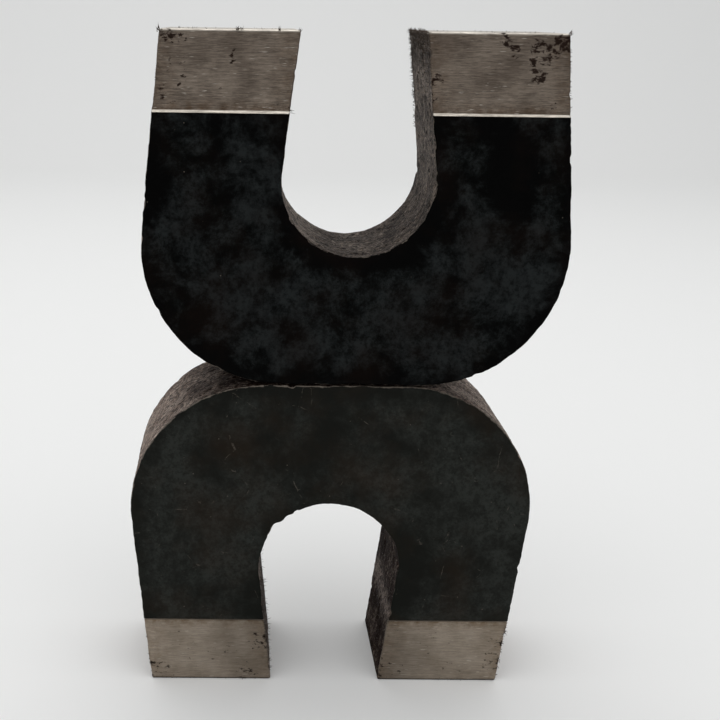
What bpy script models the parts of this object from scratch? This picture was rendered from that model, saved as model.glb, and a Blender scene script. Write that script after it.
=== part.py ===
"""Two like horseshoe magnets stacked crown to crown as a desk sculpture.

The lower magnet stands on its two poles like an arch. The upper one lies upside down on the
lower one's crown, a little to the right and a little turned, and holds on by its own pull.
Each magnet is one solid casting of square section, whose legs draw in towards the poles. The
front and back faces are ground flat, and a shallow second cut bares the metal of the tips.

Metres, +Z up, -Y to the front. The origin is under the middle of the stack, on the table.
"""

import math

import bmesh
import bpy
from mathutils import Euler, Vector

MM = 0.001

# The casting. Widths run across the legs, heights from the pole ends towards the crown.
POLE_WIDTH = 72.5 * MM  # over both legs, at the pole ends
SECTION = 25.0 * MM  # the square section: leg width at the poles, crown thickness and depth
HEIGHT = 65.5 * MM
SHOULDER_RADIUS = 26.5 * MM  # outer corners of the crown
SIDE_FLARE = math.radians(5.7)  # the outer sides widen by this from the poles to the crown
GAP_FLARE = math.radians(6.4)  # and the gap between the legs by this
EDGE_BEVEL = 0.6 * MM

# The bare pole tips, ground a little below the blackened faces.
TIP_LENGTH = 14.0 * MM
TIP_STEP = 0.45 * MM

# The stack.
UPPER_OFFSET = 2.9 * MM  # the upper magnet stands this far to the right of the lower one
UPPER_TURN = math.radians(-0.6)
CONTACT_GAP = 0.3 * MM

SHOULDER_SEGMENTS = 12
ARCH_SEGMENTS = 24
CUTTER_MARGIN = 5.0 * MM
BEVEL_CORNER_ANGLE = math.radians(60)  # edges blunter than this, such as the step, stay sharp
SHARP_ANGLE = math.radians(30)
WELD_DISTANCE = 0.00001

BLACKENED = (0.022, 0.024, 0.024)
BARE_METAL = (0.16, 0.145, 0.13)


def clear_scene():
    for obj in list(bpy.data.objects):
        bpy.data.objects.remove(obj, do_unlink=True)


def new_collection(name):
    collection = bpy.data.collections.new(name)
    bpy.context.scene.collection.children.link(collection)
    return collection


def metal(name, colour, roughness):
    material = bpy.data.materials.new(name)
    material.use_nodes = True
    shader = material.node_tree.nodes["Principled BSDF"]
    shader.inputs["Base Color"].default_value = (*colour, 1.0)
    shader.inputs["Metallic"].default_value = 0.9
    shader.inputs["Roughness"].default_value = roughness
    return material


def arc(centre, radius, start, end, segments):
    """Points along a circular arc, both ends included, with the angles in radians."""
    angles = [start + (end - start) * i / segments for i in range(segments + 1)]
    return [
        (centre[0] + radius * math.cos(a), centre[1] + radius * math.sin(a)) for a in angles
    ]


def horseshoe_outline():
    """The outline, anticlockwise from the right leg's outer corner, poles at y = 0."""
    rise = HEIGHT - SHOULDER_RADIUS
    shoulder_x = (
        POLE_WIDTH / 2 + rise * math.tan(SIDE_FLARE) - SHOULDER_RADIUS / math.cos(SIDE_FLARE)
    )
    shoulder = arc(
        (shoulder_x, rise), SHOULDER_RADIUS, -SIDE_FLARE, math.pi / 2, SHOULDER_SEGMENTS
    )
    right_side = [(POLE_WIDTH / 2, 0.0)] + shoulder
    left_side = [(-x, y) for x, y in reversed(right_side)]

    half_gap = POLE_WIDTH / 2 - SECTION
    arch_top = HEIGHT - SECTION
    arch_y = (arch_top - half_gap * math.cos(GAP_FLARE)) / (1 + math.sin(GAP_FLARE))
    arch = arc(
        (0.0, arch_y), arch_top - arch_y, math.pi + GAP_FLARE, -GAP_FLARE, ARCH_SEGMENTS
    )
    return right_side + left_side + [(-half_gap, 0.0)] + arch + [(half_gap, 0.0)]


def prism(name, outline, thickness, rotation):
    """A mesh object from a closed flat outline, extruded equally to both sides of its plane."""
    curve = bpy.data.curves.new(name + "_outline", "CURVE")
    curve.dimensions = "2D"
    curve.fill_mode = "BOTH"
    curve.extrude = thickness / 2
    spline = curve.splines.new("POLY")
    spline.points.add(len(outline) - 1)
    for point, (x, y) in zip(spline.points, outline):
        point.co = (x, y, 0.0, 1.0)
    spline.use_cyclic_u = True
    guide = bpy.data.objects.new(name + "_outline", curve)
    bpy.context.scene.collection.objects.link(guide)
    guide.rotation_euler = rotation
    bpy.context.view_layer.update()

    depsgraph = bpy.context.evaluated_depsgraph_get()
    mesh = bpy.data.meshes.new_from_object(guide.evaluated_get(depsgraph))
    mesh.transform(guide.matrix_world)
    mesh.name = name
    bpy.data.objects.remove(guide, do_unlink=True)

    shape = bmesh.new()
    shape.from_mesh(mesh)
    bmesh.ops.remove_doubles(shape, verts=shape.verts, dist=WELD_DISTANCE)
    bmesh.ops.recalc_face_normals(shape, faces=shape.faces)
    shape.to_mesh(mesh)
    shape.free()
    return bpy.data.objects.new(name, mesh)


def tip_cutter(name, side):
    """Cuts the step across both tips on one face, with a 45 degree shoulder at its end."""
    floor = side * (SECTION / 2 - TIP_STEP)
    outside = side * (SECTION / 2 + CUTTER_MARGIN)
    slope = SECTION / 2 + CUTTER_MARGIN - (SECTION / 2 - TIP_STEP)
    profile = [
        (floor, -CUTTER_MARGIN),
        (outside, -CUTTER_MARGIN),
        (outside, TIP_LENGTH + slope),
        (floor, TIP_LENGTH),
    ]
    length = POLE_WIDTH + 4 * CUTTER_MARGIN
    cutter = prism(name, profile, length, Euler((math.pi / 2, 0, math.pi / 2)))
    cutter.hide_render = True
    cutter.display_type = "WIRE"
    return cutter


def magnet(name, parts, cutters, material):
    """One horseshoe, poles down at its own origin, with its tip cuts and softened edges."""
    body = prism(name, horseshoe_outline(), SECTION, Euler((math.pi / 2, 0, 0)))
    body.data.materials.append(material)
    body.data.shade_smooth()
    body.data.set_sharp_from_angle(angle=SHARP_ANGLE)
    parts.objects.link(body)
    for label, side in (("front", -1), ("back", 1)):
        cutter = tip_cutter(f"{name}_{label}_tip_cutter", side)
        cutters.objects.link(cutter)
        cutter.parent = body
        cut = body.modifiers.new(f"{label} tip cut", "BOOLEAN")
        cut.operation = "DIFFERENCE"
        cut.solver = "EXACT"
        cut.object = cutter
    bevel = body.modifiers.new("softened edges", "BEVEL")
    bevel.width = EDGE_BEVEL
    bevel.segments = 2
    bevel.limit_method = "ANGLE"
    bevel.angle_limit = BEVEL_CORNER_ANGLE
    return body


# Being turned, the upper magnet reaches a little further sideways. The stack is centred with that.
TURN_REACH = SECTION / 2 * math.sin(abs(UPPER_TURN))

clear_scene()
magnets = new_collection("magnetic_desk_sculpture")
hidden_cutters = new_collection("cutters")

lower = magnet(
    "lower_magnet", magnets, hidden_cutters, metal("blackened alnico", BLACKENED, 0.45)
)
lower.location = Vector((-(UPPER_OFFSET + TURN_REACH) / 2, 0.0, 0.0))

# Upside down: its crown rests on the lower crown, and its poles point up.
upper = magnet(
    "upper_magnet", magnets, hidden_cutters, metal("worn alnico", BARE_METAL, 0.4)
)
upper.location = Vector(((UPPER_OFFSET - TURN_REACH) / 2, 0.0, 2 * HEIGHT + CONTACT_GAP))
upper.rotation_euler = Euler((0.0, math.pi, UPPER_TURN))
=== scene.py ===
# %% [markdown]
# # Two cast horseshoe magnets, stacked crown to crown
#
# A horseshoe magnet of this thick kind is one block of cast alnico, an alloy of iron with
# aluminium, nickel and cobalt. The sand mould leaves a rough skin on its sides. The two flat faces
# are ground on a surface grinder and blackened, and the pole tips are then ground bare, a little
# deeper. Here each magnet is one closed surface, worked out with numpy, with three finishes on it.

import math

import bpy
import numpy as np
from mathutils import Matrix, Vector


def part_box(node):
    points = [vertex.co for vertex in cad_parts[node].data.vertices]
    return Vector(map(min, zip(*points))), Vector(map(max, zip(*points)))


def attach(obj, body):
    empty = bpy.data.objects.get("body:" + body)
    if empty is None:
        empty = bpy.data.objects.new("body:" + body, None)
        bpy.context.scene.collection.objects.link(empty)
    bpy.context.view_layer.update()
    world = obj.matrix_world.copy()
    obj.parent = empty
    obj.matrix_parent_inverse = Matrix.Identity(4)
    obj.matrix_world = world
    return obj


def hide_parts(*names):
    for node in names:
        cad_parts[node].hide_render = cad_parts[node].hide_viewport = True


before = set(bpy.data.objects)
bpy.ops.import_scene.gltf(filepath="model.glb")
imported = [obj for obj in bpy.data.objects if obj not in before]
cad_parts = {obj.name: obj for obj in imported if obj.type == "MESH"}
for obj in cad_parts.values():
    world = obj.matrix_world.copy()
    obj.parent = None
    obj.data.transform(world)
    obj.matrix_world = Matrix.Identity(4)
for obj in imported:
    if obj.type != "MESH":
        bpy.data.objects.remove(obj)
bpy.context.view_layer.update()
MM = 0.001

# %% [markdown]
# ## Sizes
#
# What the CAD boxes give is read from them: the height, the depth, and where each magnet stands.
# The rest are the magnet's driving dimensions. All lengths of the magnets are in millimetres until
# a mesh is made, because that is how a pattern maker thinks of them.

# %% Driving dimensions, in millimetres and radians
lower_low, lower_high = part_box("lower_magnet")
upper_low, upper_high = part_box("upper_magnet")
HEIGHT = (lower_high.z - lower_low.z) / MM
DEPTH = (lower_high.y - lower_low.y) / MM
SECTION = DEPTH  # the legs are as wide, and the crown as thick, as the magnet is deep
POLE_WIDTH = 72.5  # over both legs, at the pole ends
SHOULDER_RADIUS = 26.5  # outer corners of the crown
SIDE_FLARE = math.radians(5.7)  # the outer sides widen by this from the poles to the crown
GAP_FLARE = math.radians(6.4)  # and the gap between the legs by this
TIP_LENGTH = 14.0  # the bare part of each leg
TIP_STEP = 0.45  # how much deeper it is ground
EDGE_ROUND = 0.35
UPPER_TURN = math.radians(-0.6)

LOWER_X = (lower_low.x + lower_high.x) / 2 / MM
UPPER_X = (upper_low.x + upper_high.x) / 2 / MM
UPPER_TOP = upper_high.z / MM
print(f"each magnet {HEIGHT:.1f} high, {DEPTH:.1f} deep; upper one {UPPER_X - LOWER_X:.1f} to the right")

# %% [markdown]
# ## Repeatable roughness
#
# Cast metal is rough in a way that looks random at every size. Value noise gives that: a random
# number at each whole-number point, blended smoothly between them, and a few such layers of
# finer and finer grain added up. The random numbers come from a hash of the point's own
# coordinates, so they are the same each time.


# %% Noise on whole arrays
def lattice_random(ix, iy, iz, seed):
    """A number from 0 to 1 for each lattice point: multiply by large odd numbers and mix the bits."""
    h = (ix * 374761393 + iy * 668265263 + iz * 2147483647 + seed * 974711) & 0xFFFFFFFF
    h = ((h ^ (h >> 13)) * 1274126177) & 0xFFFFFFFF
    return ((h ^ (h >> 16)) & 0xFFFFFFFF) / 0xFFFFFFFF


def noise(x, y, z=0.0, seed=0):
    """Value noise from -1 to 1, where each weight is 3t^2 - 2t^3 of the place between two points."""
    axes = np.broadcast_arrays(x, y, z)
    whole = [np.floor(c).astype(np.int64) for c in axes]
    part = [c - w for c, w in zip(axes, whole)]
    blend = [p * p * (3 - 2 * p) for p in part]
    total = 0.0
    for corner in np.ndindex(2, 2, 2):
        weight = math.prod(b if far else 1 - b for b, far in zip(blend, corner))
        lattice_point = [w + far for w, far in zip(whole, corner)]
        total = total + weight * lattice_random(*lattice_point, seed)
    return 2 * total - 1


def layered_noise(x, y, z=0.0, seed=0, layers=4):
    """Noise plus noise of half the size and half the height, and so on, kept about -1 to 1."""
    total = sum(
        noise(x * 2**i, y * 2**i, z * 2**i, seed + 31 * i) / 2**i for i in range(layers)
    )
    return total / 1.5


def ramp(value, start, end):
    """0 below start and 1 above end, with a smooth rise between."""
    t = np.clip((value - start) / (end - start), 0, 1)
    return t * t * (3 - 2 * t)


print("noise sample:", noise(np.array([0.3, 7.7]), 1.5, seed=4).round(3))

# %% [markdown]
# ## The horseshoe's two outlines
#
# The shape is drawn as two lines that run side by side from the right pole, round the crown, to
# the left pole: the outer outline and the outline of the gap. Stations pair a point of one with a
# point of the other. On the legs a station is a level line, so that the ground step at the tips
# is straight. Round the crown it is a ray from the centre of the gap's round end.

# %% Outlines, in millimetres, with the poles at height 0
RISE = HEIGHT - SHOULDER_RADIUS
SHOULDER_X = POLE_WIDTH / 2 + RISE * math.tan(SIDE_FLARE) - SHOULDER_RADIUS / math.cos(SIDE_FLARE)
HALF_GAP = POLE_WIDTH / 2 - SECTION
ARCH_TOP = HEIGHT - SECTION
ARCH_Y = (ARCH_TOP - HALF_GAP * math.cos(GAP_FLARE)) / (1 + math.sin(GAP_FLARE))
ARCH_RADIUS = ARCH_TOP - ARCH_Y


def outer_along_ray(angle):
    """Where a ray from the arch's centre leaves the horseshoe: the nearest of the side line,
    the crown line and, between them, the far crossing with the shoulder's circle. The left half
    is the right half's mirror image."""
    across, up = np.abs(np.cos(angle)), np.sin(angle)
    least = 1e-9  # instead of a division by zero
    side = (POLE_WIDTH / 2 + ARCH_Y * math.tan(SIDE_FLARE)) / np.maximum(
        across - up * math.tan(SIDE_FLARE), least
    )
    crown = (HEIGHT - ARCH_Y) / np.maximum(up, least)
    # Distance t to the circle: |t * ray - centre| = radius, the larger root.
    toward = across * SHOULDER_X + up * (RISE - ARCH_Y)
    inside = toward**2 - (SHOULDER_X**2 + (RISE - ARCH_Y) ** 2 - SHOULDER_RADIUS**2)
    circle = toward + np.sqrt(np.maximum(inside, 0))
    straight = np.minimum(side, crown)
    x, y = circle * across, circle * up + ARCH_Y
    below = y < RISE - SHOULDER_RADIUS * math.sin(SIDE_FLARE)
    above = x < SHOULDER_X
    return np.where(below | above, straight, circle)


def stations(levels, blend_count, ray_count):
    """Pairs of outer and inner points, from the right pole round to the left one: level lines at
    the given heights, then lines that turn evenly into the first ray, and rays up to the middle
    of the crown. The left half mirrors these."""
    outer = [np.stack([POLE_WIDTH / 2 + levels * math.tan(SIDE_FLARE), levels], 1)]
    inner = [np.stack([HALF_GAP + levels * math.tan(GAP_FLARE), levels], 1)]
    angle = np.linspace(-GAP_FLARE, math.pi / 2, ray_count)
    reach = outer_along_ray(angle)
    ray = np.stack([np.cos(angle), np.sin(angle)], 1)
    ray_outer = ray * reach[:, None] + [0, ARCH_Y]
    ray_inner = ray * ARCH_RADIUS + [0, ARCH_Y]
    t = np.linspace(0, 1, blend_count + 2)[1:-1, None]
    outer += [outer[0][-1] + t * (ray_outer[0] - outer[0][-1]), ray_outer]
    inner += [inner[0][-1] + t * (ray_inner[0] - inner[0][-1]), ray_inner]
    outer, inner = np.concatenate(outer), np.concatenate(inner)
    mirror = np.array([-1, 1])
    return (
        np.concatenate([outer, (outer[:-1] * mirror)[::-1]]),
        np.concatenate([inner, (inner[:-1] * mirror)[::-1]]),
    )


def round_levels(steps):
    """Heights and insets of a quarter circle of EDGE_ROUND, from one face to the next."""
    turn = np.linspace(0, math.pi / 2, steps)
    return EDGE_ROUND * (1 - np.cos(turn)), EDGE_ROUND * (1 - np.sin(turn))


print(f"gap's round end: radius {ARCH_RADIUS:.1f}, centre {ARCH_Y:.1f} above the poles")

# %% [markdown]
# ## One ring round the section
#
# Each station carries the same ring of points round the square section: the outer side, the back
# face, the side towards the gap and the front face, with a small round at each corner. A point
# of the ring is stored as numbers that don't depend on the station: how far across it is from
# the outer to the inner outline, a fixed length to add to that, and the same two for the depth.

# %% The ring's numbers
CORNER_STEPS = 4
CROWDING = 0.62  # from 0, an even spacing across a face, towards 1, crowded at its edges


def ring(side_count, face_count):
    """Columns: share across, mm added across, share of the half depth, mm taken off the depth,
    and the finish: 0 outer side, 1 back face, 2 inner side, 3 front face."""
    side = np.linspace(-1, 1, side_count)
    t = np.linspace(0, 1, face_count)
    face = t - CROWDING * np.sin(2 * math.pi * t) / (2 * math.pi)
    out, into = (part[1:-1] for part in round_levels(CORNER_STEPS + 1))

    def rows(across, added, share, taken, finish):
        columns = np.broadcast_arrays(across, added, share, taken, finish)
        return np.stack([np.asarray(c, float) for c in columns], 1)

    return np.concatenate([
        rows(0, 0, side, EDGE_ROUND, 0),
        rows(0, out, 1, into, 1),
        rows(face, EDGE_ROUND * (1 - 2 * face), 1, 0, 1),
        rows(1, -out[::-1], 1, into[::-1], 1),
        rows(1, 0, -side, EDGE_ROUND, 2),
        rows(1, -out, -1, into, 3),
        rows(1 - face, EDGE_ROUND * (2 * face - 1), -1, 0, 3),
        rows(0, out[::-1], -1, into[::-1], 3),
    ])


RING = ring(side_count=68, face_count=22)
print("points round the section:", len(RING))

# %% [markdown]
# ## Rough sides and chipped rims
#
# The skin of a sand casting has slow waves and lumps from the mould, grains of sand pressed into
# it, streaks along it, and pits where grains broke out. Where the ground face cuts through this
# skin, the rim follows it, and small chips have broken away along it. All of this moves points
# across the outline, and it dies out within a millimetre or two of the rim on the flat faces,
# which stay truly flat. It is real geometry and not only a bump, because it shows in the outline.


# %% How far the skin stands out or in
SKIN_FADE = 0.9  # mm over which the skin's roughness dies out on a flat face
CHIP_FADE = 0.8  # mm from the rim that small chips reach
MARK_FADE = 1.6  # and that the single large chips reach


def fade(distance, size):
    """A bell curve: 1 at no distance, a third at about this size, and next to none at twice it."""
    return np.exp(-((distance / size) ** 2))


def cast_skin(along, depth, seed):
    """Millimetres outwards: slow waves, lumps, sand grains, streaky ridges that run along the
    outline, and pits, which are the places where a finer noise goes over a limit."""
    waves = 0.05 * layered_noise(along / 13, depth / 9, seed=seed, layers=2)
    lumps = 0.06 * noise(along / 3.6, depth / 3.0, seed=seed + 4)
    grains = 0.08 * layered_noise(along / 1.3, depth / 1.0, seed=seed + 1, layers=3)
    ridges = 0.06 * noise(along / 4.0, depth / 0.8, seed=seed + 2)
    pits = 0.22 * ramp(noise(along / 1.8, depth / 1.1, seed=seed + 3), 0.45, 0.85)
    return waves + lumps + grains + ridges - pits


def rim_chips(along, reach, seed):
    """Millimetres inwards at a rim: where a slow noise is high, a jagged fine one bites in, and
    small nicks lie all along. reach is the distance from the rim, over which both fade."""
    where = ramp(noise(along / 7, 0.5, seed=seed), 0.05, 0.7)
    bite = 0.12 * where * ramp(noise(along / 1.3, 3.5, seed=seed + 1), -0.1, 0.9)
    nick = 0.05 * ramp(noise(along / 0.8, 7.5, seed=seed + 2), 0.0, 0.8)
    return (bite + nick) * fade(reach, CHIP_FADE)


def marks(x, height, spots):
    """The strength of single marks: each is (x, height, radius in mm, strength), and fades
    smoothly from a third of its radius to the whole of it. Where two overlap, the stronger counts."""
    total = np.zeros(np.shape(x))
    for spot_x, spot_height, radius, strength in spots:
        apart = np.hypot(x - spot_x, height - spot_height)
        total = np.maximum(total, strength * ramp(-apart, -radius, -radius / 3))
    return total


# %% [markdown]
# ## The magnet's surface
#
# The surface is the ring carried along the stations: a grid with one row for each station and
# one column for each ring point. The first and last rows close the poles: they repeat the ring,
# shrunk in steps to the middle of the pole's end face. The bare tips are set in by the depth of
# the ground step, which rises at 45 degrees where the black face begins.


# %% The grid of points
POLE_ROUND_STEPS = 4  # rows of the small round between a pole's end face and its sides
TIP_LEVELS, BLEND_STATIONS, RAYS = 34, 34, 165  # how finely half of the horseshoe is divided
ABOVE_STEP = np.array([0.8, 1.2, 1.7])  # mm above TIP_LENGTH, the last level lines
CAP_SHARES = np.array([0.94, 0.8, 0.6, 0.4, 0.2])  # sizes of the rings that close a pole's end
FAR_FROM_RIM = 9.0  # mm, the value that a pole's end face gets


def arc_length(points):
    """Distance travelled along a line of points, from its first one."""
    steps = np.hypot(*np.diff(points, axis=0).T)
    return np.concatenate([[0], np.cumsum(steps)])


def magnet_surface(seed, front_chips):
    """Points (stations, ring, 3), the place along the outline, and the distance to a rim."""
    end_heights, end_insets = round_levels(POLE_ROUND_STEPS)
    tip = np.linspace(EDGE_ROUND, TIP_LENGTH, TIP_LEVELS)[1:]
    shoulder = TIP_LENGTH + TIP_STEP * np.array([0.12, 0.88, 1.0])
    levels = np.concatenate([end_heights, tip, shoulder, TIP_LENGTH + ABOVE_STEP])
    outer, inner = stations(levels, BLEND_STATIONS, RAYS)
    count = len(outer)

    inset = np.zeros(count)
    inset[: len(end_insets)] = end_insets
    inset[-len(end_insets):] = end_insets[::-1]
    height = (outer[:, 1] + inner[:, 1]) / 2
    near_pole = (np.arange(count) < len(levels)) | (np.arange(count) >= count - len(levels))
    below_black = TIP_STEP * np.clip((TIP_LENGTH + TIP_STEP - height) / TIP_STEP, 0, 1)
    half_depth = DEPTH / 2 - np.where(near_pole, below_black, 0)

    across, added, share, taken, finish = RING.T
    direction = inner - outer
    width = np.hypot(*direction.T)
    direction = direction / width[:, None]
    mm_across = across * width[:, None] + added + inset[:, None] * (1 - 2 * across)
    depth = share * (half_depth[:, None] - inset[:, None] - taken)
    along = arc_length(outer)[:, None] * (1 - across) + arc_length(inner)[:, None] * across

    # Distance from each point to the rim of its own face or side.
    from_outer, from_inner = mm_across, width[:, None] - mm_across
    is_face = (finish == 1) | (finish == 3)
    to_face = half_depth[:, None] - np.abs(depth)
    rim = np.where(is_face, np.minimum(from_outer, from_inner), to_face)

    flat = outer[:, None] + direction[:, None] * mm_across[..., None]
    pole_calm = ramp(height, 0.0, 1.0)[:, None]
    marked = marks(flat[..., 0], flat[..., 1], front_chips) * fade(to_face, MARK_FADE) * (depth < 0)
    offset = 0.0
    for sign, from_side, which in ((-1, from_outer, 0), (1, from_inner, 50)):
        skin = cast_skin(along, depth, seed + which)
        front = rim_chips(along, to_face, seed + which + 10) * (depth < 0)
        back = rim_chips(along, to_face, seed + which + 20) * (depth > 0)
        reach = fade(np.maximum(from_side - EDGE_ROUND, 0), SKIN_FADE)
        offset = offset + sign * reach * pole_calm * (skin - front - back - marked)
    flat = flat + direction[:, None] * offset[..., None]
    points = np.concatenate([flat[..., :1], depth[..., None], flat[..., 1:]], -1)

    middle = (outer + inner)[:, None] / 2 * np.ones((1, len(RING), 1))
    centres = np.stack([middle[..., 0], np.zeros_like(depth), middle[..., 1]], -1)
    caps = CAP_SHARES[:, None, None]
    first = centres[0] + caps[::-1] * (points[0] - centres[0])
    last = centres[-1] + caps * (points[-1] - centres[-1])
    points = np.concatenate([first, points, last])
    pad = ((len(caps), len(caps)), (0, 0))
    return points, np.pad(along, pad, mode="edge"), np.pad(rim, pad, constant_values=FAR_FROM_RIM)


# %% [markdown]
# ## From a grid to a mesh
#
# A grid of points becomes four-sided faces between neighbours, closed round the ring, and a fan
# of triangles closes each pole at a centre point. Signed volume tells whether the faces point
# outwards: if it comes out negative, every face is turned round.

# %% A closed mesh from the grid
BLACK, BARE, CAST = 0, 1, 2
LEG_SHARE = 0.3  # of the rows at each end, within which a tip can be bare


def placed(points, place):
    """Points in millimetres, turned and moved by a 4 x 4 matrix, in metres."""
    return (np.concatenate([points * MM, np.ones((len(points), 1))], 1) @ np.array(place).T)[:, :3]


def new_object(data):
    """An object in the scene for a mesh, a light or a camera, with the same name."""
    made = bpy.data.objects.new(data.name, data)
    bpy.context.scene.collection.objects.link(made)
    return made


def signed_volume(points, quads):
    """Sum over the faces of the volume of the pyramid from the origin, split in two triangles."""
    a, b, c, d = (points[quads[:, i]] for i in range(4))
    return (np.cross(a, b) * c).sum() / 6 + (np.cross(a, c) * d).sum() / 6


def magnet_mesh(name, front_chips, pitting, soot, place, seed):
    """One magnet's mesh in metres, with its finishes, its UV map in metres along the skin, and the
    attributes that the finishes read: rim, the distance to a rim, and level, the height over its
    own poles, both in mm, and the strengths of pitting and soot, where 0 is none."""
    grid, along, rim = magnet_surface(seed, front_chips)
    rows, columns = grid.shape[:2]
    ends = np.stack([grid[0].mean(0), grid[-1].mean(0)])
    points = np.concatenate([grid.reshape(-1, 3), ends])

    row, column = np.meshgrid(np.arange(rows - 1), np.arange(columns), indexing="ij")
    row, column = row.ravel(), column.ravel()
    after = (column + 1) % columns
    quads = np.stack([row * columns + column, (row + 1) * columns + column,
                      (row + 1) * columns + after, row * columns + after], 1)
    ring_now = np.arange(columns)
    ring_next = (ring_now + 1) % columns
    first_centre, last_centre = rows * columns, rows * columns + 1
    start_fan = np.stack([np.full(columns, first_centre), ring_now, ring_next], 1)
    last_row = (rows - 1) * columns
    end_fan = np.stack([np.full(columns, last_centre), last_row + ring_next, last_row + ring_now], 1)
    turned = signed_volume(points, quads) < 0
    if turned:
        quads, start_fan, end_fan = quads[:, ::-1], start_fan[:, ::-1], end_fan[:, ::-1]

    # A face's finish comes from the ring point where it starts and the height of its middle.
    finish = RING[:, 4].astype(int)
    side_now, side_next = finish[column], finish[after]
    face_height = points[quads][:, :, 2].mean(1)
    on_leg = (row < rows * LEG_SHARE) | (row > rows * (1 - LEG_SHARE))
    kind = np.where((side_now % 2 == 0) & (side_next % 2 == 0), CAST, BLACK)
    bare_tip = on_leg & (face_height < TIP_LENGTH + TIP_STEP) & (kind == BLACK)
    kind = np.where(bare_tip, BARE, kind)
    end_rows = len(CAP_SHARES) + POLE_ROUND_STEPS - 1
    end_face = (row < end_rows) | (row >= rows - 1 - end_rows)
    kind = np.where(end_face, BARE, kind)

    mesh = bpy.data.meshes.new(name)
    faces = quads.tolist() + start_fan.tolist() + end_fan.tolist()
    mesh.from_pydata(placed(points, place).tolist(), [], faces)
    fans = np.full(2 * columns, BARE)
    mesh.polygons.foreach_set("material_index", np.concatenate([kind, fans]).astype(np.int32))

    values_of = {
        "rim": np.append(rim.ravel(), [FAR_FROM_RIM] * 2),
        "level": points[:, 2],
        "pitting": marks(points[:, 0], points[:, 2], pitting),
        "soot": marks(points[:, 0], points[:, 2], soot),
    }
    for label, values in values_of.items():
        layer = mesh.attributes.new(label, "FLOAT", "POINT")
        layer.data.foreach_set("value", values.astype(np.float32))

    # The skin's UV map, in metres: along the outline, and across the section's own perimeter.
    section = grid[rows // 4]
    edges = np.linalg.norm(np.diff(section, axis=0, append=section[:1]), axis=1)
    perimeter = np.concatenate([[0], np.cumsum(edges)])
    corner_column = np.stack([column, column, column + 1, column + 1], 1)
    corner_row = np.stack([row, row + 1, row + 1, row], 1)
    u = along[corner_row, corner_column % columns]
    uv = np.stack([u, perimeter[corner_column]], -1) * MM
    if turned:
        uv = uv[:, ::-1]
    uv = np.concatenate([uv.reshape(-1, 2), np.zeros((3 * len(fans), 2))])
    layer = mesh.uv_layers.new(name="along_skin")
    layer.uv.foreach_set("vector", uv.astype(np.float32).ravel())

    mesh.shade_smooth()
    mesh.update()
    print(f"{name}: {len(quads)} faces, volume {signed_volume(points, quads) / 1000:.1f} cm3")
    return new_object(mesh)


# %% [markdown]
# ## The two magnets
#
# The lower magnet stands with its poles down. The upper one is the same casting turned upside
# down, so that its crown rests on the lower crown, and a little to the right. What each has been
# through differs, so each has its own chips in the rim, its own pitted patches on the bare tips
# and its own sooty places. All are lists of spots: x, height, radius in millimetres and strength,
# in the magnet's own frame, poles down. A chip's strength is how far it goes in, in millimetres.

# %% Where each magnet stands, and what marks it
lower_place = Matrix.Translation((LOWER_X * MM, 0, 0))
upper_place = (
    Matrix.Translation((UPPER_X * MM, 0, UPPER_TOP * MM))
    @ Matrix.Rotation(UPPER_TURN, 4, "Z")
    @ Matrix.Rotation(math.pi, 4, "Y")
)

LOWER_CHIPS = [
    (-9.6, 39.0, 2.2, 1.0),  # two steps at the top left of the arch
    (-11.8, 36.0, 2.2, 0.7),
    (14.3, 31.0, 2.2, 0.25),  # a rubbed rim on the right of the arch
    (14.6, 27.5, 2.6, 0.2),
    (-8.5, 65.6, 0.9, 0.35),  # one at the contact line
    (40.0, 26.5, 1.4, 0.3),
]
UPPER_CHIPS = [
    (-14.2, 27.5, 1.6, 0.2),  # on the gap's right rim, which is the left one poles down
    (-38.6, 22.0, 1.2, 0.25),
    (39.5, 31.0, 1.6, 0.3),
]

LOWER_PITTING = [
    (-34.5, 2.5, 4.5, 0.8), (-27.0, 5.0, 4.0, 0.55), (-17.0, 1.2, 5.0, 0.8), (-14.0, 9.0, 4.0, 0.8),
    (-30.0, 9.0, 5.0, 0.45), (-21.0, 6.0, 5.0, 0.5), (34.5, 4.5, 4.5, 0.72), (36.0, 9.0, 4.0, 0.68),
    (14.0, 1.5, 5.0, 0.7), (22.0, 9.0, 6.0, 0.5), (27.0, 2.0, 6.0, 0.6), (16.0, 12.5, 3.0, 0.6),
]
UPPER_PITTING = [
    (-31.6, 3.4, 4.2, 1.38), (-24.8, 1.2, 2.0, 1.8), (-27.0, 3.2, 2.4, 1.2), (-31.3, 7.3, 2.4, 1.4),
    (-34.8, 1.6, 3.0, 1.2), (-13.6, 8.0, 2.0, 1.0), (-14.0, 11.5, 2.5, 0.8), (-34.5, 12.0, 1.6, 0.9),
    (-16.9, 9.6, 1.4, 0.9), (34.5, 1.1, 2.2, 1.2), (32.0, 1.3, 2.0, 1.1), (23.4, 4.5, 2.2, 1.0),
    (34.0, 8.0, 5.0, 0.75), (34.5, 12.5, 3.0, 0.7), (26.0, 9.0, 3.0, 0.6), (14.5, 13.3, 1.5, 0.9),
]

LOWER_SOOT = [
    (10.0, 4.0, 17.0, 1.0), (14.5, 26.0, 17.0, 0.95), (-12.5, 12.0, 18.0, 0.8), (-5.0, 66.0, 34.0, 1.0),
]
UPPER_SOOT = [
    (-11.2, 2.0, 7.0, 0.6), (-9.0, 34.0, 12.0, 0.6), (0.0, 40.0, 12.0, 0.5), (-24.0, 24.0, 15.0, 0.8),
    (30.0, 20.0, 8.0, 0.6), (-12.0, 20.0, 12.0, 0.3), (-28.0, 3.0, 11.0, 0.55), (30.0, 1.0, 12.0, 0.25),
]

lower = magnet_mesh("lower_magnet_casting", LOWER_CHIPS, LOWER_PITTING, LOWER_SOOT, lower_place, seed=11)
upper = magnet_mesh("upper_magnet_casting", UPPER_CHIPS, UPPER_PITTING, UPPER_SOOT, upper_place, seed=83)

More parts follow.
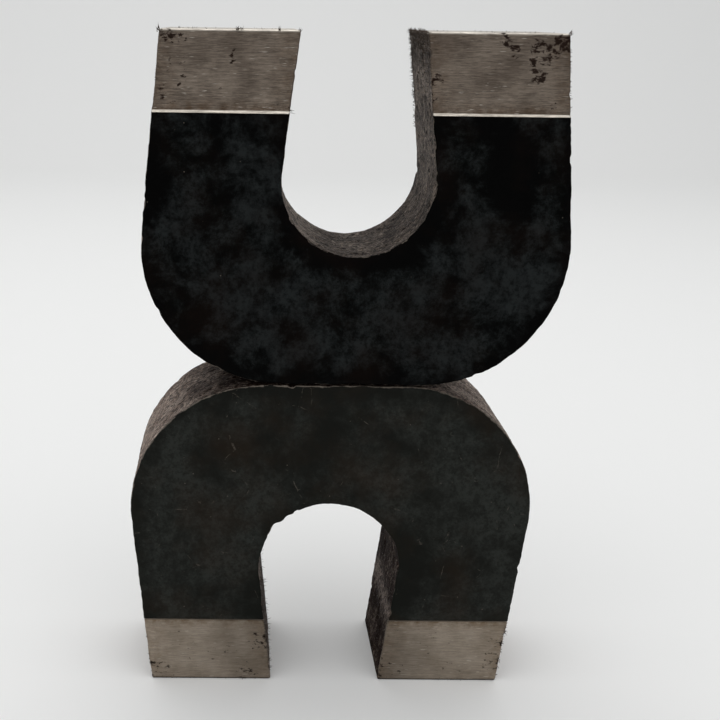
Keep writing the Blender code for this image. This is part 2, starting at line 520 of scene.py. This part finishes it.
# %% [markdown]
# ## Colours and a node helper
#
# Colours are written as sRGB hex values, as a colour picker gives them, and turned to the linear
# values that the renderer works in. One helper adds a node, sets its options and feeds its inputs.
# A Mix node has inputs for each kind of data under the same names, so its two colours go by number.


# %% Helpers for materials
A, B = 6, 7  # the two colours of a Mix node


def linear(hex_colour):
    """sRGB hex to linear: each channel c is c / 12.92 when dark, else ((c + 0.055) / 1.055) ^ 2.4."""
    channels = [int(hex_colour[i : i + 2], 16) / 255 for i in (1, 3, 5)]
    return [c / 12.92 if c <= 0.04045 else ((c + 0.055) / 1.055) ** 2.4 for c in channels] + [1.0]


def feed(tree, node, inputs):
    """Gives each input a fixed value or a link. A node stands for its first output in use."""
    for socket, value in inputs.items():
        if isinstance(value, bpy.types.Node):
            value = next(output for output in value.outputs if output.enabled)
        if isinstance(value, bpy.types.NodeSocket):
            tree.links.new(value, node.inputs[socket])
        else:
            node.inputs[socket].default_value = value


def add(tree, kind, inputs=None, **options):
    """Adds a shader node, sets its options and feeds its inputs."""
    made = tree.nodes.new("ShaderNode" + kind)
    for option, value in options.items():
        setattr(made, option, value)
    feed(tree, made, inputs or {})
    return made


def new_material(name):
    """A material, its node tree and its Principled shader."""
    material = bpy.data.materials.new(name)
    material.use_nodes = True
    tree = material.node_tree
    return material, tree, tree.nodes["Principled BSDF"]


def per_mm(size):
    """The noise scale that makes features of this size in millimetres, on coordinates in metres."""
    return 1000.0 / size


# %% [markdown]
# ## Black oxide on a ground face
#
# The faces are blackened steel-grey metal: a thin dull oxide, soot black, with cloudy paler
# patches where it took unevenly and a faint brown film of rust. It stays thickest along the rims.
# Hairline scratches and specks show the metal under it, and handling has rubbed the very rim
# bare. It reflects little and softly. Noise of several sizes gives each of these its own pattern,
# because wear doesn't follow the clouds.


# %% Black oxide
def black_oxide(name, deep, pale, rusty, shine, cloud_share, softness, speck_share, scratched,
                crown_wear):
    """deep, pale and rusty are the soot, the cloudy patches and the brown film. shine is the pale
    patches' specular level, cloud_share the part of the face that they cover, and softness how
    slowly they fade. The last three say how much metal the specks, scratches and crown show."""
    material, tree, shader = new_material(name)
    where = add(tree, "TexCoord").outputs["Object"]
    rim, level, soot = (add(tree, "Attribute", attribute_name=label).outputs["Fac"]
                        for label in ("rim", "level", "soot"))

    # Clouds. Soot stays thick in an uneven border along the rims, and in the sooty places.
    cloud = add(tree, "TexNoise", {"Vector": where, "Scale": per_mm(11.0), "Detail": 9.0,
                                   "Roughness": 0.75, "Distortion": 0.2})
    border = add(tree, "MapRange", {"Value": rim, "From Max": 4.5, "To Min": -0.1, "To Max": 0.0})
    sooted = add(tree, "Math", {0: soot, 1: -0.12, 2: border}, operation="MULTIPLY_ADD")
    thinned = add(tree, "Math", {0: cloud, 1: sooted}, operation="ADD")
    middle = 0.5 + 0.12 * (0.5 - cloud_share)
    patches = add(tree, "MapRange", {"Value": thinned, "From Min": middle - softness,
                                     "From Max": middle + softness},
                  interpolation_type="SMOOTHSTEP")
    mottle = add(tree, "TexNoise", {"Vector": where, "Scale": per_mm(1.2), "Detail": 5.0,
                                    "Roughness": 0.8})
    dabs = add(tree, "MapRange", {"Value": mottle, "From Min": 0.38, "From Max": 0.6,
                                  "To Min": 0.3, "To Max": 1.3})
    oxide = add(tree, "Math", {0: patches, 1: dabs}, operation="MULTIPLY", use_clamp=True)
    base = add(tree, "Mix", {0: oxide, A: linear(deep), B: linear(pale)}, data_type="RGBA")

    # A faint brown film of rust, in slow patches.
    slow = add(tree, "TexNoise", {"Vector": where, "Scale": per_mm(14.0), "Detail": 4.0,
                                  "Roughness": 0.6})
    film = add(tree, "MapRange", {"Value": slow, "From Min": 0.46, "From Max": 0.68, "To Max": 0.55})
    base = add(tree, "Mix", {0: film, A: base, B: linear(rusty)}, data_type="RGBA")

    # Hairline scratches: the borders of large warped cells, kept only where a noise is high.
    warp = add(tree, "TexNoise", {"Vector": where, "Scale": per_mm(9.0), "Detail": 3.0})
    shifted = add(tree, "Mix", {0: 3 * MM, 4: where, 5: warp.outputs["Color"]}, data_type="VECTOR")
    borders = add(tree, "TexVoronoi", {"Vector": shifted, "Scale": per_mm(7.0)},
                  feature="DISTANCE_TO_EDGE")
    thin = add(tree, "MapRange", {"Value": borders, "From Min": 0.003, "From Max": 0.01,
                                  "To Min": 1.0, "To Max": 0.0})
    rare = add(tree, "TexNoise", {"Vector": where, "Scale": per_mm(6.0), "Detail": 6.0, "Roughness": 0.8})
    kept = add(tree, "MapRange", {"Value": rare, "From Min": 0.56, "From Max": 0.66, "To Max": scratched})
    scratch = add(tree, "Math", {0: thin, 1: kept}, operation="MULTIPLY")

    # Pale specks of metal: one in some cells of a Voronoi pattern, each about 0.2 mm across.
    cells = add(tree, "TexVoronoi", {"Vector": where, "Scale": per_mm(1.7)})
    chosen = add(tree, "SeparateColor", {0: cells.outputs["Color"]})
    often = add(tree, "Math", {0: chosen, 1: 1.0 - speck_share}, operation="GREATER_THAN")
    near = add(tree, "MapRange", {"Value": cells, "From Min": 0.02, "From Max": 0.08,
                                  "To Min": 0.7, "To Max": 0.0})
    speck = add(tree, "Math", {0: often, 1: near}, operation="MULTIPLY")

    # Worn rim: bare metal where the rim is close and a noise lets it through.
    rub = add(tree, "TexNoise", {"Vector": where, "Scale": per_mm(2.5), "Detail": 6.0, "Roughness": 0.7})
    crown = add(tree, "MapRange", {"Value": level, "From Min": 38.0, "From Max": 56.0,
                                   "To Max": crown_wear})
    rubbed = add(tree, "Math", {0: rub, 1: crown}, operation="ADD")
    reach = add(tree, "MapRange", {"Value": rubbed, "From Min": 0.5, "From Max": 0.75,
                                   "To Min": 0.001, "To Max": 0.4})
    worn = add(tree, "MapRange", {"Value": rim, "From Max": reach, "To Min": 1.0, "To Max": 0.0})
    nicks = add(tree, "Math", {0: scratch, 1: speck}, operation="MAXIMUM")
    bare = add(tree, "Math", {0: worn, 1: nicks}, operation="MAXIMUM", use_clamp=True)
    colour = add(tree, "Mix", {0: bare, A: base, B: linear("#80776d")}, data_type="RGBA")
    gloss = add(tree, "MapRange", {"Value": oxide, "To Min": 0.25 * shine, "To Max": shine})
    bump = add(tree, "Bump", {"Height": mottle, "Strength": 0.3, "Distance": 0.06 * MM})
    feed(tree, shader, {"Base Color": colour, "Metallic": bare, "Specular IOR Level": gloss,
                        "Roughness": 0.6, "Normal": bump})
    return material


# %% [markdown]
# ## Bare ground alnico
#
# The tips are bare metal, ground level: fine lines that all run across the leg, with a few
# brighter short scratches among them. Alnico is a brittle warm-grey metal with casting pores, so
# there are dark pits. It dulls to a brownish grey, and a brown film of dirt and rust gathers by
# the rims and beside the shoulder of the cut. The shoulder and the pole ends get a painted
# highlight on the upper magnet, where they face up, and a painted shade on the lower one, where
# they face down. A painted contact shadow darkens the feet along the floor.
# Each of these is a mix of its own, so it can be changed by itself.


# %% Ground alnico
def ground_alnico(name, metal, dull, film_colour, stain_and_shade_colour, edge_highlight_and_shade, line_depth):
    """metal and dull are the two tones of the clouds, film_colour is the brown film,
    stain_and_shade_colour is soot, dirt and pits and also a painted contact shadow along the feet, and
    edge_highlight_and_shade is a painted highlight on the upper magnet's shoulder and pole ends, which
    face up, and a painted shade on the lower magnet's, which face down. line_depth is the contrast of the
    grinding lines."""
    material, tree, shader = new_material(name)
    where = add(tree, "TexCoord").outputs["Object"]
    rim, level, soot, pitting = (add(tree, "Attribute", attribute_name=label).outputs["Fac"]
                                 for label in ("rim", "level", "soot", "pitting"))

    # Two tones in slow clouds.
    cloud = add(tree, "TexNoise", {"Vector": where, "Scale": per_mm(6.0), "Detail": 5.0})
    tone = add(tree, "MapRange", {"Value": cloud, "From Min": 0.35, "From Max": 0.65})
    base = add(tree, "Mix", {0: tone, A: linear(dull), B: linear(metal)}, data_type="RGBA")

    # A brown film lies along the rims and beside the shoulder of the cut, where dirt is caught.
    by_rim = add(tree, "MapRange", {"Value": rim, "From Min": 0.3, "From Max": 5.0,
                                    "To Min": 0.55, "To Max": 0.0})
    by_shoulder = add(tree, "MapRange", {"Value": level, "From Min": TIP_LENGTH - 2.2,
                                         "From Max": TIP_LENGTH, "To Max": 0.9})
    caught = add(tree, "Math", {0: by_rim, 1: by_shoulder}, operation="MAXIMUM")
    uneven = add(tree, "TexNoise", {"Vector": where, "Scale": per_mm(2.0), "Detail": 6.0,
                                    "Roughness": 0.75})
    spread = add(tree, "MapRange", {"Value": uneven, "From Min": 0.36, "From Max": 0.62})
    film = add(tree, "Math", {0: caught, 1: spread}, operation="MULTIPLY")

    # The 45 degree shoulder, which is TIP_STEP high, and the pole ends get painted light: a painted
    # highlight on the upper magnet, where they face up, and a painted shade on the lower, where they face
    # down.
    off_shoulder = add(tree, "Math", {0: level, 1: TIP_LENGTH + TIP_STEP / 2}, operation="SUBTRACT")
    off_shoulder = add(tree, "Math", {0: off_shoulder}, operation="ABSOLUTE")
    shoulder = add(tree, "MapRange", {"Value": off_shoulder, "From Min": 0.12, "From Max": 0.3,
                                      "To Min": 0.9, "To Max": 0.0})
    end = add(tree, "MapRange", {"Value": level, "From Min": 0.1, "From Max": 0.45,
                                 "To Min": 0.9, "To Max": 0.0})
    highlight_shade_mask = add(tree, "Math", {0: shoulder, 1: end}, operation="MAXIMUM")
    for share, over in ((film, film_colour), (highlight_shade_mask, edge_highlight_and_shade)):
        base = add(tree, "Mix", {0: share, A: base, B: linear(over)}, data_type="RGBA")

    # Grinding lines: noise drawn out across the leg. Real lines are finer than these 0.2 mm.
    drawn_out = add(tree, "Mapping", {"Vector": where, "Scale": (0.08, 1.0, 1.0)})
    lines = add(tree, "TexNoise", {"Vector": drawn_out, "Scale": per_mm(0.2), "Detail": 4.0,
                                   "Roughness": 0.8})
    line_tone = add(tree, "MapRange", {"Value": lines, "From Min": 0.3, "From Max": 0.7,
                                       "To Min": 1.0 - line_depth, "To Max": 1.0 + line_depth})
    base = add(tree, "Mix", {0: 1.0, A: base, B: line_tone}, data_type="RGBA", blend_type="MULTIPLY")

    # Brighter scratches, a little shorter: the peaks of another such noise.
    shorter = add(tree, "Mapping", {"Vector": where, "Scale": (0.1, 1.0, 1.0)})
    peaks = add(tree, "TexNoise", {"Vector": shorter, "Scale": per_mm(0.2), "Detail": 1.0})
    scratch = add(tree, "MapRange", {"Value": peaks, "From Min": 0.71, "From Max": 0.8, "To Max": 0.75})

    # Dirt from handling, and a painted contact shadow: a dark line where a foot stands on the floor.
    handled = add(tree, "Math", {0: soot, 1: 0.35}, operation="MULTIPLY")
    height = add(tree, "SeparateXYZ", {0: where}).outputs["Z"]
    # painted contact shadow along the bottom half millimetre, which only the lower magnet's feet reach
    foot = add(tree, "MapRange", {"Value": height, "From Min": 0.15 * MM, "From Max": 0.5 * MM,
                                  "To Min": 0.85, "To Max": 0.0})
    for share, over in ((scratch, "#cfc8bd"), (handled, stain_and_shade_colour), (foot, stain_and_shade_colour)):
        base = add(tree, "Mix", {0: share, A: base, B: linear(over)}, data_type="RGBA")

    # Pits: a fine noise over a limit, which is lower in the pitted patches and along the rims.
    # They are darkest where it goes furthest over.
    flattened = add(tree, "Mapping", {"Vector": where, "Scale": (0.6, 1.0, 1.0)})
    pores = add(tree, "TexNoise", {"Vector": flattened, "Scale": per_mm(0.85), "Detail": 4.0,
                                   "Roughness": 0.65, "Distortion": 0.25})
    rim_share = add(tree, "MapRange", {"Value": rim, "From Min": 0.2, "From Max": 1.1,
                                       "To Min": 0.09, "To Max": 0.0})
    eased = add(tree, "Math", {0: pitting, 1: 0.22, 2: rim_share}, operation="MULTIPLY_ADD")
    raised = add(tree, "Math", {0: pores, 1: eased}, operation="ADD")
    pit = add(tree, "MapRange", {"Value": raised, "From Min": 0.72, "From Max": 0.8, "To Max": 0.95})
    core = add(tree, "MapRange", {"Value": raised, "From Min": 0.78, "From Max": 0.88, "To Max": 0.85})
    filth = add(tree, "Mix", {0: core, A: linear(stain_and_shade_colour), B: linear("#120805")}, data_type="RGBA")
    colour = add(tree, "Mix", {0: pit, A: base, B: filth}, data_type="RGBA")
    metallic = add(tree, "MapRange", {"Value": pit, "To Min": 1.0, "To Max": 0.1})
    smooth = add(tree, "MapRange", {"Value": lines, "From Min": 0.3, "From Max": 0.7,
                                    "To Min": 0.5, "To Max": 0.36})
    rough = add(tree, "Math", {0: pit, 1: 0.5, 2: smooth}, operation="MULTIPLY_ADD", use_clamp=True)
    gloss = add(tree, "MapRange", {"Value": pit, "To Min": 0.5, "To Max": 0.05})
    relief = add(tree, "Math", {0: pit, 1: -1.2, 2: lines}, operation="MULTIPLY_ADD")
    bump = add(tree, "Bump", {"Height": relief, "Strength": 0.35, "Distance": 0.06 * MM})
    feed(tree, shader, {"Base Color": colour, "Metallic": metallic, "Roughness": rough,
                        "Specular IOR Level": gloss, "Normal": bump})
    return material


# %% [markdown]
# ## The cast skin
#
# Fired sand and scale leave a dull brown-grey crust with grains about half a millimetre across.
# Grains that stand up are rubbed paler, and soot and rust sit in the hollows. The pattern runs
# along the outline, so it is laid on the UV map, which is in metres along the skin.


# %% Cast skin
def cast_crust(name, pale, middle, hollow):
    """pale and middle are the two tones of the crust, and hollow is the soot and the open pits."""
    material, tree, shader = new_material(name)
    skin = add(tree, "UVMap", uv_map="along_skin")
    where = add(tree, "Mapping", {"Vector": skin, "Scale": (0.6, 1.0, 1.0)})
    soot = add(tree, "Attribute", attribute_name="soot").outputs["Fac"]

    # Slow clumps of two tones, and grains of sand on them.
    clumps = add(tree, "TexNoise", {"Vector": where, "Scale": per_mm(4.0), "Detail": 5.0,
                                    "Roughness": 0.6, "Distortion": 0.5})
    tone = add(tree, "MapRange", {"Value": clumps, "From Min": 0.34, "From Max": 0.62, "To Min": 0.15})
    base = add(tree, "Mix", {0: tone, A: linear(middle), B: linear(pale)}, data_type="RGBA")
    grains = add(tree, "TexNoise", {"Vector": where, "Scale": per_mm(0.5), "Detail": 4.0,
                                    "Roughness": 0.75})
    grit = add(tree, "MapRange", {"Value": grains, "From Min": 0.39, "From Max": 0.61,
                                  "To Min": 0.12, "To Max": 1.9})
    colour = add(tree, "Mix", {0: 1.0, A: base, B: grit}, data_type="RGBA", blend_type="MULTIPLY")

    # Sooty places are darker, unevenly, and more of their pits are open.
    cling = add(tree, "MapRange", {"Value": clumps, "From Min": 0.36, "From Max": 0.56,
                                   "To Min": 1.2, "To Max": 0.72})
    dusk = add(tree, "Math", {0: soot, 1: cling}, operation="MULTIPLY", use_clamp=True)
    holes = add(tree, "TexNoise", {"Vector": where, "Scale": per_mm(0.55), "Detail": 4.0,
                                   "Roughness": 0.65, "Distortion": 0.4})
    deeper = add(tree, "Math", {0: soot, 1: -0.05, 2: holes}, operation="MULTIPLY_ADD")
    gathered = add(tree, "Math", {0: clumps, 1: 0.2, 2: deeper}, operation="MULTIPLY_ADD")
    pit = add(tree, "MapRange", {"Value": gathered, "From Min": 0.5, "From Max": 0.57,
                                 "To Min": 0.97, "To Max": 0.0})

    # The tops of the grains, rubbed to pale flecks.
    fleck = add(tree, "MapRange", {"Value": grains, "From Min": 0.6, "From Max": 0.68, "To Max": 0.75})
    for share, over in ((dusk, hollow), (pit, hollow), (fleck, "#b5aba0")):
        colour = add(tree, "Mix", {0: share, A: colour, B: linear(over)}, data_type="RGBA")
    metallic = add(tree, "MapRange", {"Value": soot, "To Min": 0.2, "To Max": 0.0})
    gloss = add(tree, "MapRange", {"Value": soot, "To Min": 0.3, "To Max": 0.02})
    relief = add(tree, "Math", {0: pit, 1: -0.8, 2: grains}, operation="MULTIPLY_ADD")
    bump = add(tree, "Bump", {"Height": relief, "Strength": 1.0, "Distance": 0.3 * MM})
    feed(tree, shader, {"Base Color": colour, "Metallic": metallic, "Specular IOR Level": gloss,
                        "Roughness": 0.7, "Normal": bump})
    return material


# %% Put the finishes on the castings
lower_finishes = [
    black_oxide("black oxide on the lower magnet", deep="#141512", pale="#1f221e", rusty="#241c14",
                shine=0.19, cloud_share=0.85, softness=0.17, speck_share=0.2, scratched=0.45,
                crown_wear=0.13),
    # edge_highlight_and_shade on the lower tips is painted shade on the shoulder and pole ends, which
    # face down here
    ground_alnico("ground alnico on the lower tips", metal="#9e9386", dull="#877c6f",
                  film_colour="#66533f", stain_and_shade_colour="#20150f", edge_highlight_and_shade="#837a6e",
                  line_depth=0.25),
    cast_crust("cast skin of the lower magnet", pale="#9a8b80", middle="#624c40", hollow="#1c0d07"),
]
upper_finishes = [
    black_oxide("black oxide on the upper magnet", deep="#020202", pale="#171b1b", rusty="#100906",
                shine=0.12, cloud_share=0.5, softness=0.1, speck_share=0.04, scratched=0.0,
                crown_wear=0.0),
    # edge_highlight_and_shade on the upper tips is a painted highlight on the shoulder and pole ends,
    # which face up here
    ground_alnico("ground alnico on the upper tips", metal="#82776c", dull="#655b52",
                  film_colour="#4f3d2d", stain_and_shade_colour="#24150e", edge_highlight_and_shade="#cfc8bd",
                  line_depth=0.55),
    cast_crust("cast skin of the upper magnet", pale="#7a6e64", middle="#54483f", hollow="#140b08"),
]
for casting, finishes in ((lower, lower_finishes), (upper, upper_finishes)):
    for finish in finishes:
        casting.data.materials.append(finish)
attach(lower, "lower")
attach(upper, "upper")
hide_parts("lower_magnet")
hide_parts("upper_magnet")
print("finishes:", [m.name for m in lower_finishes + upper_finishes])

# %% [markdown]
# ## Iron filings
#
# A bare magnet picks up iron dust wherever its field leaves the metal: at the corners of the poles
# and along their edges. The grains stand on end, like short hairs. Each is a splinter with a
# three-sided foot and a point, and all the splinters of one magnet are one mesh. A tuft is given
# by its middle, how far it spreads, which way its hairs point, how many there are and how long
# they are, all in the magnet's own frame in millimetres. A lean slants it along a leg, and a
# thinning above 1 leaves fewer hairs towards its upper end.


# %% Tufts of splinters
JITTER = 0.42  # how far a splinter strays from the aim
SUNK = 0.12  # mm that its foot is sunk into the metal
THINNEST, THICKEST = 0.05, 0.1  # mm, the radius of its foot


def tuft(random, at, spread, aim, count, length, lean=0.0, thinning=1.0):
    """Roots scattered over a box, fewer of them upwards the larger the thinning, and points at
    the root plus the aim with some jitter."""
    share = random.uniform(0, 1, (count, 3)) ** [1.0, 1.0, thinning]
    offset = (2 * share - 1) * spread
    root = np.array(at) + offset
    root[:, 0] += lean * offset[:, 2]
    way = np.array(aim, float) / np.linalg.norm(aim) + random.normal(0, JITTER, (count, 3))
    way /= np.linalg.norm(way, axis=1)[:, None]
    reach = length * random.uniform(0.35, 1.0, (count, 1))
    return root - SUNK * way, root + reach * way


def filings(name, tufts, place, finish, seed):
    """All splinters in one mesh: four points and four triangles for each."""
    random = np.random.default_rng(seed)
    made = [tuft(random, *each) for each in tufts]
    root = np.concatenate([pair[0] for pair in made])
    tip = np.concatenate([pair[1] for pair in made])
    way = tip - root
    side = np.cross(way, [0.3, 0.5, 0.8])
    side /= np.linalg.norm(side, axis=1)[:, None]
    other = np.cross(way, side)
    other /= np.linalg.norm(other, axis=1)[:, None]
    thick = random.uniform(THINNEST, THICKEST, (len(root), 1))
    turn = np.array([0, 2, 4]) * math.pi / 3
    foot = [root + thick * (math.cos(a) * side + math.sin(a) * other) for a in turn]
    points = np.stack(foot + [tip], 1).reshape(-1, 3)
    start = 4 * np.arange(len(root))[:, None, None]
    corners = np.array([[0, 2, 1], [0, 1, 3], [1, 2, 3], [2, 0, 3]])
    faces = (start + corners).reshape(-1, 3)
    points = placed(points, place)
    points[:, 2] = np.maximum(points[:, 2], 0.0)  # none reaches below the floor
    mesh = bpy.data.meshes.new(name)
    mesh.from_pydata(points.tolist(), [], faces.tolist())
    mesh.materials.append(finish)
    mesh.update()
    print(f"{name}: {len(root)} splinters")
    return new_object(mesh)


dust, tree, shader = new_material("brown-black iron filings")
feed(tree, shader, {"Base Color": linear("#43382f"), "Metallic": 0.5, "Roughness": 0.6})

# %% Where the dust clings
FRONT = -DEPTH / 2 + TIP_STEP
IN_GAP = math.tan(GAP_FLARE)
OUTSIDE = math.tan(SIDE_FLARE)
UPPER_TUFTS = [
    ((36.1, FRONT, 0.2), (0.5, 0.5, 0.4), (0.6, -0.4, -0.7), 14, 1.0),
    ((22.0, FRONT, 0.0), (0.7, 0.4, 0.1), (0, -0.3, -1), 16, 0.8),
    ((15.0, FRONT, 0.0), (0.2, 0.3, 0.1), (0, -0.2, -1), 6, 0.9),
    ((11.5, FRONT, 0.1), (0.3, 0.4, 0.2), (-0.6, 0, -0.8), 6, 0.8),
    ((24.0, -2.0, 0.0), (11.0, 9.0, 0.05), (0, 0, -1), 26, 0.4),
    ((-24.0, -2.0, 0.0), (11.0, 9.0, 0.05), (0, 0, -1), 22, 0.4),
    ((-36.1, FRONT, 0.1), (0.3, 0.4, 0.3), (-0.6, -0.2, -0.8), 8, 1.0),
    # The furry inner corner of one pole, thinning out along the leg.
    ((-11.5, 0.0, 1.9), (0.1, 12.3, 1.9), (0.8, 0.1, -0.7), 380, 1.1, -IN_GAP, 2.0),
    ((-12.0, 1.0, 6.5), (0.1, 11.3, 6.5), (0.9, 0.1, -0.3), 520, 0.7, -IN_GAP, 2.4),
    ((-12.3, 11.8, 9.5), (0.1, 0.6, 9.5), (1, 0.6, 0), 170, 0.6, -IN_GAP, 1.5),
    ((-11.8, FRONT, 5.0), (0.1, 0.4, 5.0), (0.6, -0.6, 0), 30, 0.4, -IN_GAP),
    ((12.7, FRONT, 14.2), (0.1, 0.2, 0.5), (-1, -0.2, 0.1), 4, 1.1),
    ((36.8, FRONT, 7.0), (0.1, 0.3, 6.0), (0.8, -0.6, 0), 26, 0.35, OUTSIDE),
    ((-36.9, FRONT, 7.0), (0.1, 0.3, 6.5), (-0.8, -0.6, 0), 34, 0.35, -OUTSIDE),
]
LOWER_TUFTS = [
    ((-12.8, -4.0, 13.5), (0.1, 8.0, 10.0), (1, -0.1, 0), 70, 1.5, -IN_GAP),
    ((-12.8, FRONT, 13.5), (0.1, 0.6, 11.0), (1, -0.3, 0), 90, 0.9, -IN_GAP),
    ((12.9, FRONT - 0.1, 14.5), (0.3, 0.3, 1.6), (-0.3, -0.8, 0.2), 16, 0.5, IN_GAP),
    ((13.3, 12.0, 14.0), (0.2, 0.4, 9.0), (-1, 0.3, 0), 90, 0.4, IN_GAP),
    ((37.2, FRONT, 11.5), (0.3, 0.3, 2.2), (0.9, -0.4, 0), 26, 0.7, OUTSIDE),
    ((36.8, FRONT, 5.0), (0.1, 0.3, 4.5), (0.8, -0.6, 0), 16, 0.35, OUTSIDE),
    ((-36.8, FRONT, 6.0), (0.1, 0.3, 5.0), (-0.8, -0.6, 0), 14, 0.35, -OUTSIDE),
    ((-17.0, FRONT, 0.3), (0.5, 0.2, 0.15), (0, -1, 0), 9, 0.6),
    ((24.0, FRONT, 0.25), (11.5, 0.1, 0.15), (0, -1, 0), 22, 0.35),
    ((-24.0, FRONT, 0.25), (11.5, 0.1, 0.15), (0, -1, 0), 20, 0.35),
]
lower_dust = filings("lower_filings", LOWER_TUFTS, lower_place, dust, seed=5)
upper_dust = filings("upper_filings", UPPER_TUFTS, upper_place, dust, seed=6)
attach(lower_dust, "lower")
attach(upper_dust, "upper")

# %% [markdown]
# ## A pale sweep, soft light and the camera
#
# The stack stands on a pale card that curves up behind it, as in a small product studio. A sweep
# has no corner line. It is made so wide, and comes so far forward, that its ends stay out of every
# view. One big softbox overhead gives the soft shadows, and a pale room fills them. The camera
# stands about 200 mm in front and a little to the left, and looks down. Its frame is shifted
# sideways instead of the camera being turned, which keeps the stack's front square to the view.

# %% The sweep, in metres
SWEEP_HALF_WIDTH = 12.0
SWEEP_FRONT, SWEEP_BACK = -6.0, 1.1
SWEEP_RADIUS, SWEEP_TOP = 0.35, 1.3


def sweep():
    """A profile of floor, quarter circle and wall, carried straight from left to right."""
    turn = np.linspace(-math.pi / 2, 0, 24)
    bend_y = SWEEP_BACK - SWEEP_RADIUS + SWEEP_RADIUS * np.cos(turn)
    bend_z = SWEEP_RADIUS + SWEEP_RADIUS * np.sin(turn)
    y = np.concatenate([[SWEEP_FRONT, 0.0], bend_y, [SWEEP_BACK]])
    z = np.concatenate([[0.0, 0.0], bend_z, [SWEEP_TOP]])
    left = np.stack([np.full_like(y, -SWEEP_HALF_WIDTH), y, z], 1)
    right = left * [-1, 1, 1]
    points = np.concatenate([left, right])
    now = np.arange(len(y) - 1)
    faces = np.stack([now, now + len(y), now + len(y) + 1, now + 1], 1)
    mesh = bpy.data.meshes.new("pale_sweep")
    mesh.from_pydata(points.tolist(), [], faces.tolist())
    mesh.shade_smooth()
    return new_object(mesh)


backdrop = sweep()
card, tree, shader = new_material("matt card")
feed(tree, shader, {"Base Color": linear("#eeeeed"), "Roughness": 0.8, "Specular IOR Level": 0.2})
backdrop.data.materials.append(card)
print(f"sweep: {2 * SWEEP_HALF_WIDTH:.0f} m wide")

# %% Light
SOFTBOX_PLACE, SOFTBOX_AIM = Vector((-0.06, 0.12, 0.74)), Vector((-0.01, 0.12, 0.0))
softbox = bpy.data.lights.new("overhead softbox", "AREA")
softbox.shape = "RECTANGLE"
softbox.size, softbox.size_y = 1.1, 0.9
softbox.energy = 3.5
lamp = new_object(softbox)
lamp.location = SOFTBOX_PLACE
lamp.rotation_euler = (SOFTBOX_AIM - SOFTBOX_PLACE).to_track_quat("-Z", "Y").to_euler()

room = bpy.data.worlds.new("dim room")
bpy.context.scene.world = room
room.use_nodes = True
background = room.node_tree.nodes["Background"]
feed(room.node_tree, background, {"Color": linear("#f2f3f4"), "Strength": 0.7})
bpy.context.scene.view_settings.view_transform = "Standard"
print("light:", lamp.name)

# %% Camera
CAMERA_FROM_LOWER = Vector((-19.7, -202.4, 133.6)) * MM  # from the lower magnet's front, at the floor
LOOK_DOWN, LOOK_RIGHT, TILT = 0.3027, 0.0104, 0.0135  # in radians
lens = bpy.data.cameras.new("camera")
lens.lens = 55.3
lens.sensor_width = 36.0
lens.shift_x, lens.shift_y = 0.16, 0.0014
lens.clip_start = 0.01
camera = new_object(lens)
front_of_lower = Vector((LOWER_X * MM, lower_low.y, 0.0))
camera.matrix_world = (
    Matrix.Translation(front_of_lower + CAMERA_FROM_LOWER)
    @ Matrix.Rotation(-LOOK_RIGHT, 4, "Z")
    @ Matrix.Rotation(math.pi / 2 - LOOK_DOWN, 4, "X")
    @ Matrix.Rotation(TILT, 4, "Z")
)
bpy.context.scene.camera = camera
print("camera at", [round(c / MM) for c in camera.matrix_world.translation], "mm")
